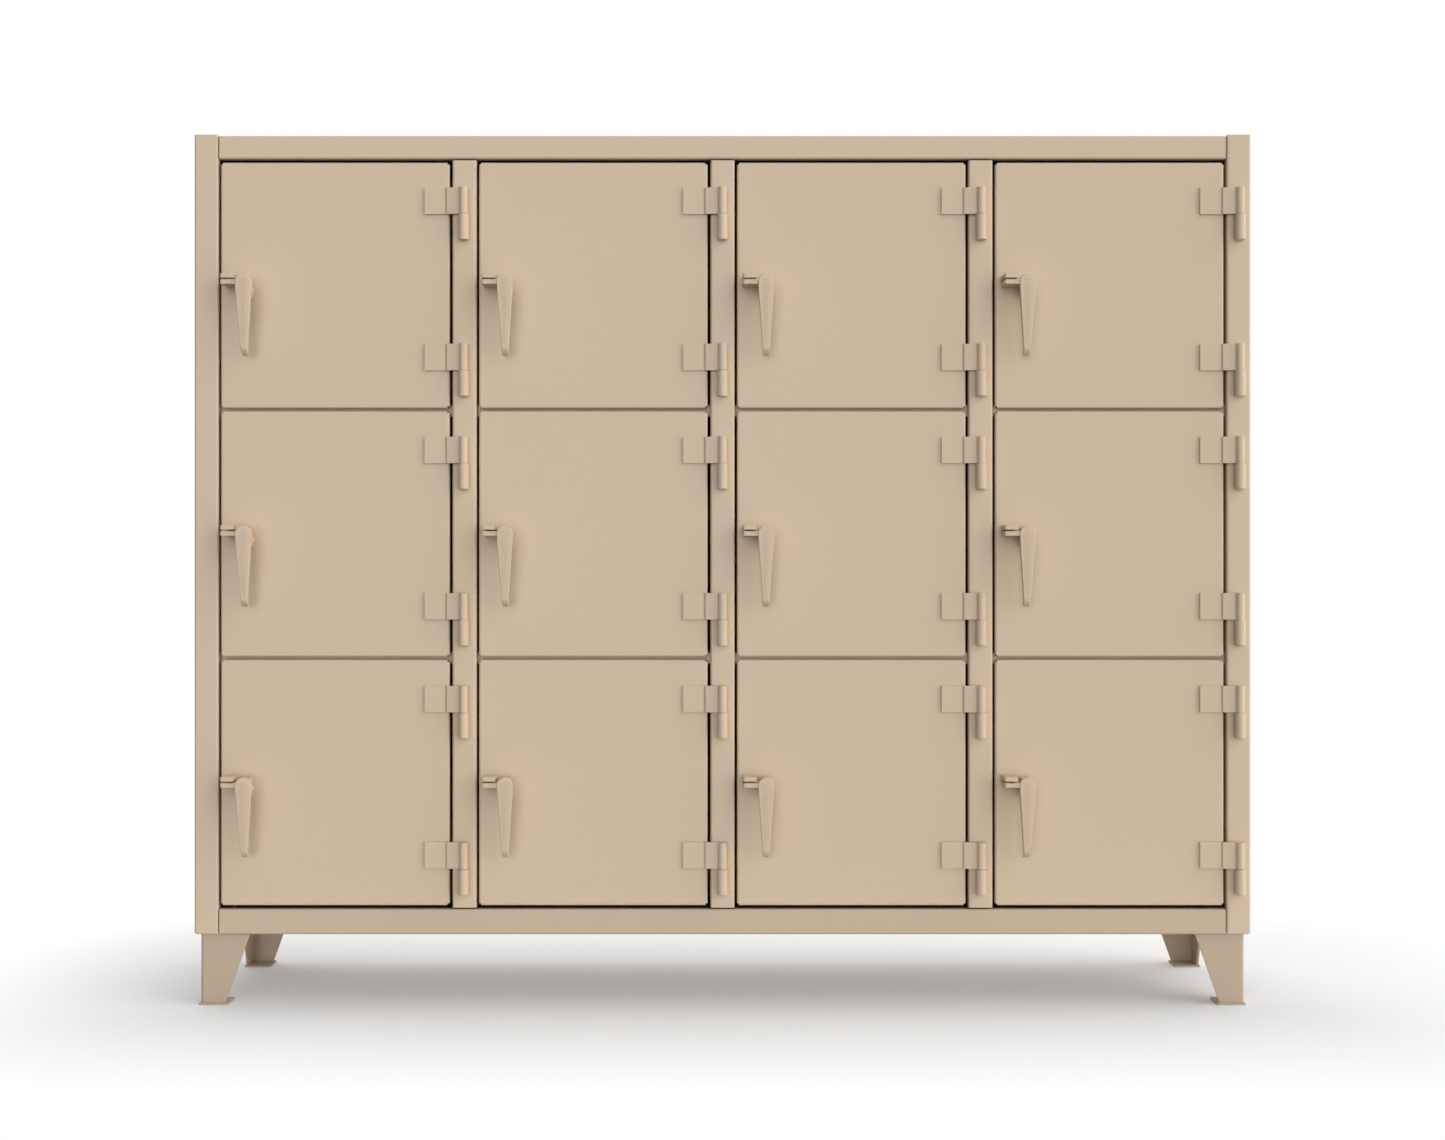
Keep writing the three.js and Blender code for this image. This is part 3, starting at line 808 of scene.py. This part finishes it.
leaf_top = DOOR_TOP - LEAF_DROPS[0]
leaf_bottom = leaf_top - LEAF_HEIGHT
crank = [
    (first_hinge.x - LEAF_REACH, FRONT - LEAF_THICKNESS, leaf_bottom),
    (first_hinge.x - CRANK_START, FRONT - LEAF_THICKNESS, leaf_bottom),
    (first_hinge.x - CRANK_START + CRANK_STEP, FRONT - LEAF_THICKNESS - CRANK_STEP, leaf_bottom),
    (first_hinge.x - CRANK_END, first_hinge.y - CRANK_BEND, leaf_bottom),
]
rise = (0, 0, LEAF_HEIGHT)
leaf = fold_sheet("leaf_first", crank, rise, (0, -1, 0), LEAF_THICKNESS, CRANK_BEND)
axis_at = (first_hinge.x, first_hinge.y, leaf_bottom)
combine(leaf, rod("barrel", axis_at, "Z", LEAF_HEIGHT, UPPER_RADIUS), "UNION")
bore_at = (first_hinge.x, first_hinge.y, leaf_bottom - MM)
combine(leaf, rod("bore", bore_at, "Z", PIN_RISE + 2 * MM, PIN_RADIUS + PIN_CLEARANCE))
soften(leaf, LEAF_EDGE)
print("leaf:", len(leaf.data.polygons), "faces")

# %% Lower knuckle, pin and welds
KNUCKLE_FOOT_EDGE = 2 * MM
KNUCKLE_TOP_EDGE = 1.2 * MM
PIN_EDGE = 1.2 * MM
WELD_RADIUS = 2.6 * MM
WELD_SPREAD = 5.2 * MM
WELD_SINK = 0.6 * MM
WELD_END = 2 * MM
lower_top = leaf_bottom - KNUCKLE_JOINT
lower_at = (first_hinge.x, first_hinge.y, lower_top - LOWER_HEIGHT)
knuckle = rod("knuckle_first", lower_at, "Z", LOWER_HEIGHT, LOWER_RADIUS)
with editing(knuckle):
    choose(knuckle, "EDGE", lambda edge: middle(edge).z < lower_at[2] + EPS and is_fold(edge))
    bpy.ops.mesh.bevel(offset=KNUCKLE_FOOT_EDGE, segments=3, affect="EDGES")
    choose(knuckle, "EDGE", lambda edge: middle(edge).z > lower_top - EPS and is_fold(edge))
    bpy.ops.mesh.bevel(offset=KNUCKLE_TOP_EDGE, segments=2, affect="EDGES")
soften(knuckle, 0)

pin_at = (first_hinge.x, first_hinge.y, lower_top - PIN_RISE)
pin = rod("pin_first", pin_at, "Z", 2 * PIN_RISE, PIN_RADIUS)
soften(pin, PIN_EDGE)

weld_at = (first_hinge.x - WELD_SPREAD, FRONT - WELD_SINK, lower_at[2] + WELD_END)
knuckle_weld = bead("weld_first", weld_at, "Z", LOWER_HEIGHT - 2 * WELD_END, WELD_RADIUS)
print("knuckle, pin and weld done")

# %% [markdown]
# ## Padlock ears
# Two drilled ears lie one above the other, the upper one fixed on the door and the lower one cast
# with the handle. A padlock through both holes keeps the lever down.


# %% One ear
EAR_NEAR = 20.2 * MM
EAR_FAR = 48 * MM
EAR_REACH = 54 * MM
EAR_THICKNESS = 9.5 * MM
EAR_SLIT = 3.2 * MM
EAR_CORNER = 4 * MM
EAR_HOLE = 5.2 * MM
EAR_HOLE_INSET = 14 * MM
EAR_ROOT = 8 * MM
EAR_EDGE = 0.8 * MM
HUB_CLEARANCE = 1.5 * MM


def ear(name, low_z, near, door_side):
    far_x = first_pivot.x - EAR_FAR
    front_y = FRONT - EAR_REACH
    high = (first_pivot.x - near, door_side, low_z + EAR_THICKNESS)
    piece = block(name, (far_x, front_y, low_z), high)

    def at_outer_corner(edge):
        spot = middle(edge)
        return abs(spot.x - far_x) < EPS and abs(spot.y - front_y) < EPS

    with editing(piece):
        choose(piece, "EDGE", at_outer_corner)
        bpy.ops.mesh.bevel(offset=EAR_CORNER, segments=3, affect="EDGES")
    hole_at = (first_pivot.x - (EAR_FAR + EAR_NEAR) / 2, front_y + EAR_HOLE_INSET, low_z - MM)
    combine(piece, rod("drill", hole_at, "Z", EAR_THICKNESS + 2 * MM, EAR_HOLE))
    soften(piece, EAR_EDGE)
    return piece


fixed_ear_low = first_pivot.z + EAR_THICKNESS / 2 + EAR_SLIT
door_ear = ear("ear_first", fixed_ear_low, EAR_NEAR, FRONT + EPS)

# %% [markdown]
# ## Lever handle
# The lever is one casting: a round head, a grip that narrows and leans in towards the door, and a
# tip that curls back. It is built from the tip's end to the top of the head by extruding one
# section after another and resizing each, as one would by hand. Its front edge is then bevelled all
# round, which makes the rim, and the hub and the lower ear are joined on.

# %% Sections of the grip
HEAD_RADIUS = 16.5 * MM
HANDLE_REACH = 56 * MM
HEAD_BACK = 43 * MM
HEAD_SWEEP = math.radians(84)
HEAD_STEPS = 8

# Each section is (height above the pivot, half width, front reach, back reach).
sections = [
    (-152.0 * MM, 4.6 * MM, 30.0 * MM, 27.4 * MM),
    (-151.2 * MM, 5.6 * MM, 33.0 * MM, 27.0 * MM),
    (-148.6 * MM, 6.6 * MM, 38.0 * MM, 28.2 * MM),
    (-145.0 * MM, 6.9 * MM, 42.4 * MM, 31.0 * MM),
    (-141.0 * MM, 7.0 * MM, 45.6 * MM, 34.4 * MM),
    (-136.0 * MM, 7.3 * MM, 47.6 * MM, 37.1 * MM),
    (-100.0 * MM, 9.8 * MM, 50.1 * MM, 39.0 * MM),
    (-14.0 * MM, 16.0 * MM, 55.9 * MM, 43.0 * MM),
]
for step in range(HEAD_STEPS + 1):
    angle = HEAD_SWEEP * step / HEAD_STEPS
    height, half = HEAD_RADIUS * math.sin(angle), HEAD_RADIUS * math.cos(angle)
    sections.append((height, half, HANDLE_REACH, HEAD_BACK))


def section_box(section):
    height, half, reach, back = section
    return Vector((2 * half, reach - back, 0)), Vector((0, -(reach + back) / 2, height))


# %% Extrude the grip section by section
FRONT_EDGE = 1.7 * MM
BACK_EDGE = 0.9 * MM
BACK_FOLD = math.radians(50)
FLAT_ENOUGH = math.radians(0.6)
size, spot = section_box(sections[0])
start_at = Vector((first_pivot.x, FRONT, first_pivot.z)) + spot
lever = plate("lever_first", start_at, (0, 0, 0), size.x, size.y)
with editing(lever):
    bpy.ops.mesh.select_all(action="SELECT")
    for section in sections[1:]:
        next_size, next_spot = section_box(section)
        extrude(next_spot - spot)
        bpy.ops.transform.resize(value=(next_size.x / size.x, next_size.y / size.y, 1))
        size, spot = next_size, next_spot
    bpy.ops.mesh.select_all(action="SELECT")
    bpy.ops.mesh.normals_make_consistent(inside=False)
    # Flat neighbours become one face, because a bevel overlaps itself on thin strips.
    bpy.ops.mesh.dissolve_limited(angle_limit=FLAT_ENOUGH)

    def on_front_outline(edge):
        if not is_fold(edge):
            return False
        forward = [face.normal.y < -0.5 for face in edge.link_faces]
        return forward[0] != forward[1]

    choose(lever, "EDGE", on_front_outline)
    bpy.ops.mesh.bevel(offset=FRONT_EDGE, segments=3, affect="EDGES")

    def on_back_outline(edge):
        if not is_fold(edge) or edge.calc_face_angle() < BACK_FOLD:
            return False
        return middle(edge).y > FRONT - HEAD_BACK - MM

    choose(lever, "EDGE", on_back_outline)
    bpy.ops.mesh.bevel(offset=BACK_EDGE, segments=2, affect="EDGES")
print("grip:", len(lever.data.polygons), "faces")

# %% Hub, ear and spindle of the handle
HUB_HALF = 12 * MM
HUB_NECK_HALF = 8.7 * MM
HUB_NECK_END = -5 * MM
HUB_SHOULDER = -10 * MM
HUB_TOP = 13 * MM
HUB_FOOT_HALF = 7 * MM
HUB_WAIST = -15 * MM
HUB_EDGE = 1.2 * MM
HUB_DROP = 27 * MM
HUB_REACH = 46 * MM
CAM_BACKSET = 21 * MM
CAM_THICKNESS = 5 * MM
SPINDLE_ROOT = 2 * MM
SPINDLE_END = 4 * MM
SPINDLE_EDGE = 0.8 * MM


def outline_solid(name, points, depth):
    """A closed outline, drawn point by point, filled and extruded."""
    piece = draw_line(name, points)
    with editing(piece):
        bpy.ops.mesh.select_all(action="SELECT")
        bpy.ops.mesh.edge_face_add()
        extrude(depth)
        bpy.ops.mesh.select_all(action="SELECT")
        bpy.ops.mesh.normals_make_consistent(inside=False)
    return piece


def around_pivot(points, reach):
    return [(first_pivot.x + x, FRONT - reach, first_pivot.z + z) for x, z in points]


hub_points = [
    (HUB_NECK_HALF, HUB_TOP),
    (-HUB_NECK_HALF, HUB_TOP),
    (-HUB_NECK_HALF, HUB_NECK_END),
    (-HUB_HALF, HUB_SHOULDER),
    (-HUB_HALF, HUB_WAIST),
    (-HUB_FOOT_HALF, -HUB_DROP),
    (HUB_FOOT_HALF, -HUB_DROP),
    (HUB_HALF, HUB_WAIST),
    (HUB_HALF, HUB_SHOULDER),
    (HUB_NECK_HALF, HUB_NECK_END),
]
hub = outline_solid("hub", around_pivot(hub_points, HUB_REACH), (0, HUB_REACH - HUB_CLEARANCE, 0))
soften(hub, HUB_EDGE, 3)
combine(lever, hub, "UNION")
lever_ear_low = first_pivot.z - EAR_THICKNESS / 2
lever_ear = ear("lever_ear", lever_ear_low, EAR_ROOT, FRONT - HUB_CLEARANCE - MM)
combine(lever, lever_ear, "UNION")
soften(lever, 0, angle=40)

spindle_at = (first_pivot.x, FRONT - HUB_CLEARANCE - SPINDLE_ROOT, first_pivot.z)
spindle_length = HUB_CLEARANCE + SPINDLE_ROOT + CAM_BACKSET + CAM_THICKNESS + SPINDLE_END
spindle = rod("spindle_first", spindle_at, "Y", spindle_length, PIN_RADIUS)
soften(spindle, SPINDLE_EDGE)
print("lever:", len(lever.data.polygons), "faces")

# %% [markdown]
# ## Ribs on the grip
# The grip's face carries a row of low raised ribs, so that a wet or gloved hand doesn't slip. They
# are plain bars, shorter towards the tip, and sit on the sloping face.

# %% Ribs
RIB_PITCH = 5 * MM
RIB_HEIGHT = 1.7 * MM
RIB_PROUD = 0.9 * MM
RIB_SINK = 1 * MM
RIB_FIRST = 4 * MM
RIB_LAST = -128 * MM
RIB_SHARE = 0.42
RIB_CROWN = (0.8, 1, 0.5)


def face_at(height):
    """Half width and front reach of the grip at a height above the pivot."""
    for lower, upper in zip(sections, sections[1:]):
        if lower[0] <= height <= upper[0]:
            share = (height - lower[0]) / (upper[0] - lower[0])
            return [a + (b - a) * share for a, b in zip(lower[1:3], upper[1:3])]
    return sections[-1][1:3]


ribs = None
height = RIB_FIRST
while height > RIB_LAST:
    half, reach = face_at(height)
    half = RIB_SHARE * half
    rib_at = Vector((first_pivot.x, FRONT - reach, first_pivot.z + height))
    low = rib_at - Vector((half, RIB_PROUD, RIB_HEIGHT / 2))
    high = rib_at + Vector((half, RIB_SINK, RIB_HEIGHT / 2))
    rib = block("rib", low, high)
    with editing(rib):
        choose(rib, "FACE", lambda face: face.normal.y < -0.9)
        bpy.ops.transform.resize(value=RIB_CROWN)
    if ribs:
        take(ribs)
        rib.select_set(True)
        bpy.ops.object.join()
    else:
        ribs = rib
    height -= RIB_PITCH
ribs.name = ribs.data.name = "ribs_first"
soften(ribs, 0)
print("ribs:", len(ribs.data.polygons), "faces")

# %% [markdown]
# ## Latch cam
# Behind the door, a plated tongue is held on the spindle by a washer and a hexagon nut. It points
# at the post while the lever hangs down, and turns down when the lever is raised. It ends just short
# of the post, so a door can swing open with its lever down.

# %% Cam, washer and nut
CAM_REACH = 58.6 * MM
CAM_HALF = 13 * MM
CAM_TIP_HALF = 8 * MM
CAM_CORNER = 4 * MM
CAM_SHOULDER = 12 * MM
CAM_CLEARANCE = 0.3 * MM
CAM_EDGE = 0.7 * MM
WASHER_RADIUS = 11 * MM
WASHER_THICKNESS = 1.2 * MM
WASHER_EDGE = 0.3 * MM
NUT_RADIUS = 9.8 * MM
NUT_HEIGHT = 5 * MM
NUT_EDGE = 0.8 * MM
cam_points = [
    (CAM_HALF - CAM_CORNER, -CAM_HALF),
    (CAM_HALF, CAM_CORNER - CAM_HALF),
    (CAM_HALF, CAM_HALF - CAM_CORNER),
    (CAM_HALF - CAM_CORNER, CAM_HALF),
    (-CAM_SHOULDER, CAM_HALF),
    (-CAM_REACH, CAM_TIP_HALF),
    (-CAM_REACH, -CAM_TIP_HALF),
    (-CAM_SHOULDER, -CAM_HALF),
]
cam = outline_solid("cam_first", around_pivot(cam_points, -CAM_BACKSET), (0, CAM_THICKNESS, 0))
eye_at = (first_pivot.x, FRONT + CAM_BACKSET - MM, first_pivot.z)
combine(cam, rod("drill", eye_at, "Y", CAM_THICKNESS + 2 * MM, PIN_RADIUS + CAM_CLEARANCE))
soften(cam, CAM_EDGE)

cam_back = FRONT + CAM_BACKSET + CAM_THICKNESS
washer_at = (first_pivot.x, cam_back + EPS, first_pivot.z)
washer = rod("washer_first", washer_at, "Y", WASHER_THICKNESS, WASHER_RADIUS)
soften(washer, WASHER_EDGE)
nut_at = (first_pivot.x, cam_back + WASHER_THICKNESS, first_pivot.z)
nut = rod("nut_first", nut_at, "Y", NUT_HEIGHT, NUT_RADIUS, sides=6)
soften(nut, NUT_EDGE)
print("cam:", len(cam.data.polygons), "faces")

# %% [markdown]
# ## Twelve of each
# The first door's pieces are copied to every door. A door's pan, leaves and fixed ear ride on the
# door, its lever and cam ride on the handle's body, and the lower knuckles stay on the cabinet.

# %% Copy to every door
LEAF_STEP = Vector((0, 0, LEAF_DROPS[0] - LEAF_DROPS[1]))
for label in LABELS:
    move = hinge_at[label] - first_hinge
    on_door, on_handle = f"door_{label}", f"handle_{label}"
    twin = copy_to(pan, f"pan_{label}", move)
    hand_over(twin, on_door, door_paint, "door_paint", on_door)
    twin = copy_to(door_ear, f"fixed_ear_{label}", move)
    hand_over(twin, on_door, handle_paint, "handle_paint")
    twin = copy_to(lever, f"lever_{label}", move)
    hand_over(twin, on_handle, handle_paint, "handle_paint", on_handle)
    twin = copy_to(ribs, f"grip_ribs_{label}", move)
    hand_over(twin, on_handle, handle_paint, "handle_paint")
    twin = copy_to(cam, f"cam_{label}", move)
    hand_over(twin, on_handle, zinc, "latch_zinc", f"latch_cam_{label}")
    for model, word in ((spindle, "spindle"), (washer, "washer"), (nut, "nut")):
        hand_over(copy_to(model, f"{word}_{label}", move), on_handle, zinc, "latch_zinc")
    for place, shift in (("upper", move), ("lower", move + LEAF_STEP)):
        tag = f"{label}_{place}"
        twin = copy_to(leaf, f"hinge_leaf_{tag}", shift)
        hand_over(twin, on_door, door_paint, "door_paint")
        twin = copy_to(knuckle, f"knuckle_{tag}", shift)
        hand_over(twin, "cabinet", body_paint, "body_paint")
        twin = copy_to(pin, f"hinge_pin_{tag}", shift)
        hand_over(twin, "cabinet", zinc, "latch_zinc")
        for side, across in (("a", 0), ("b", 2 * WELD_SPREAD)):
            weld_shift = shift + Vector((across, 0, 0))
            twin = copy_to(knuckle_weld, f"hinge_weld_{tag}_{side}", weld_shift)
            hand_over(twin, "cabinet", body_paint, "body_paint")

door_models = (pan, leaf, knuckle, pin, knuckle_weld, door_ear)
handle_models = (lever, spindle, ribs, cam, washer, nut)
for model in door_models + handle_models:
    bpy.data.objects.remove(model)

# %% [markdown]
# ## Stage and light
# The floor is a plain pale sheet that fades to the white backdrop within a step of the cabinet, so
# there is no horizon line. Right at the feet the soft shadow is real shade on the sheet, but the
# fade is weakest at the feet and set a little to the right, so it also paints how far the shadow
# reaches and which way it leans. All the light comes from the sky, so every column is lit alike. It
# is bright overhead and on the right, which gives the right-hand bends their bright edge, and dim in
# front on the left, which leaves the left-hand bends in shade. A bright round patch almost straight
# in front puts a soft shadow behind each handle.

# %% Floor
FLOOR_RADIUS = 5.0
FLOOR_SIDES = 96
FADE_WIDTH = 0.62
FADE_AT_FEET = 0.18
# The fade's shift moves the painted part of the floor shadow 5 cm to the right.
PAINTED_SHADOW_SHIFT = 0.05
FLOOR_DROP = 0.2 * MM
PAPER = (0.785, 0.79, 0.80, 1)
bpy.ops.mesh.primitive_circle_add(
    vertices=FLOOR_SIDES, radius=FLOOR_RADIUS, fill_type="NGON", location=(0, 0, -FLOOR_DROP)
)
floor = begin("studio_floor")
floor_material = bpy.data.materials.new("studio_floor_white")
bench = Bench(floor_material)
place = bench.add("ShaderNodeTexCoord", out="Object")
footprint = (HALF_WIDTH, (BACK - FRONT) / 2, 0)
shifted = bench.vector("SUBTRACT", place, (PAINTED_SHADOW_SHIFT, 0, 0))
past_edge = bench.vector("SUBTRACT", bench.vector("ABSOLUTE", shifted), footprint)
distance = bench.vector("LENGTH", bench.vector("MAXIMUM", past_edge, (0, 0, 0)), out="Value")
# Painted shadow: the floor is left darkest at the feet and lightened with distance, on top of the
# real shade.
fade = bench.span(distance, 0.0, FADE_WIDTH, FADE_AT_FEET, 1.0)
paper = bench.add("ShaderNodeBsdfDiffuse", {"Color": PAPER})
clear = bench.add("ShaderNodeBsdfTransparent")
mix = bench.add("ShaderNodeMixShader", {0: fade, 1: paper, 2: clear})
bench.add("ShaderNodeOutputMaterial", {"Surface": mix})
floor.data.materials.append(floor_material)

# %% Sky
SKY_LEFT = 0.105
SKY_RIGHT = 2.10
SKY_BEHIND = 0.80
SKY_LIFT = 1.0
SKY_BELOW = 0.55
LAMP_AIM = (-0.14, -0.985, 0.10)
RIGHT_SPAN = (0.05, 0.80)
BEHIND_SPAN = (-0.1, 0.4)
GROUND_SPAN = (-0.3, 0.0)
LAMP_EDGE = 0.90
LAMP_CORE = 0.96
LAMP_STRENGTH = 2.95
world = bpy.data.worlds.new("white_studio")
bpy.context.scene.world = world
bench = Bench(world)
seen = bench.add("ShaderNodeLightPath", out="Is Camera Ray")
direction = bench.add("ShaderNodeTexCoord", out="Generated")


def along(axis, *limits):
    """How far a direction points along an axis, mapped by span."""
    return bench.span(bench.vector("DOT_PRODUCT", direction, axis, out="Value"), *limits)


front_sky = along((1, 0, 0), *RIGHT_SPAN, SKY_LEFT, SKY_RIGHT, "SMOOTHSTEP")
behind = along((0, 1, 0), *BEHIND_SPAN, 0.0, 1.0)
up = along((0, 0, 1), 0.0, 1.0, 0.0, 1.0)
ground = along((0, 0, 1), *GROUND_SPAN, SKY_BELOW, 1.0)
lamp = along(LAMP_AIM, LAMP_EDGE, LAMP_CORE, 0.0, LAMP_STRENGTH, "SMOOTHSTEP")
sky = (front_sky * (1 - behind) + SKY_BEHIND * behind) * (1 + SKY_LIFT * (up * up)) * ground + lamp
strength = sky * (1 - seen) + seen
glow = bench.add("ShaderNodeBackground", {"Color": (1, 1, 1, 1), "Strength": strength})
bench.add("ShaderNodeOutputWorld", {"Surface": glow})
bpy.context.scene.view_settings.view_transform = "Standard"
print("sky and floor done")
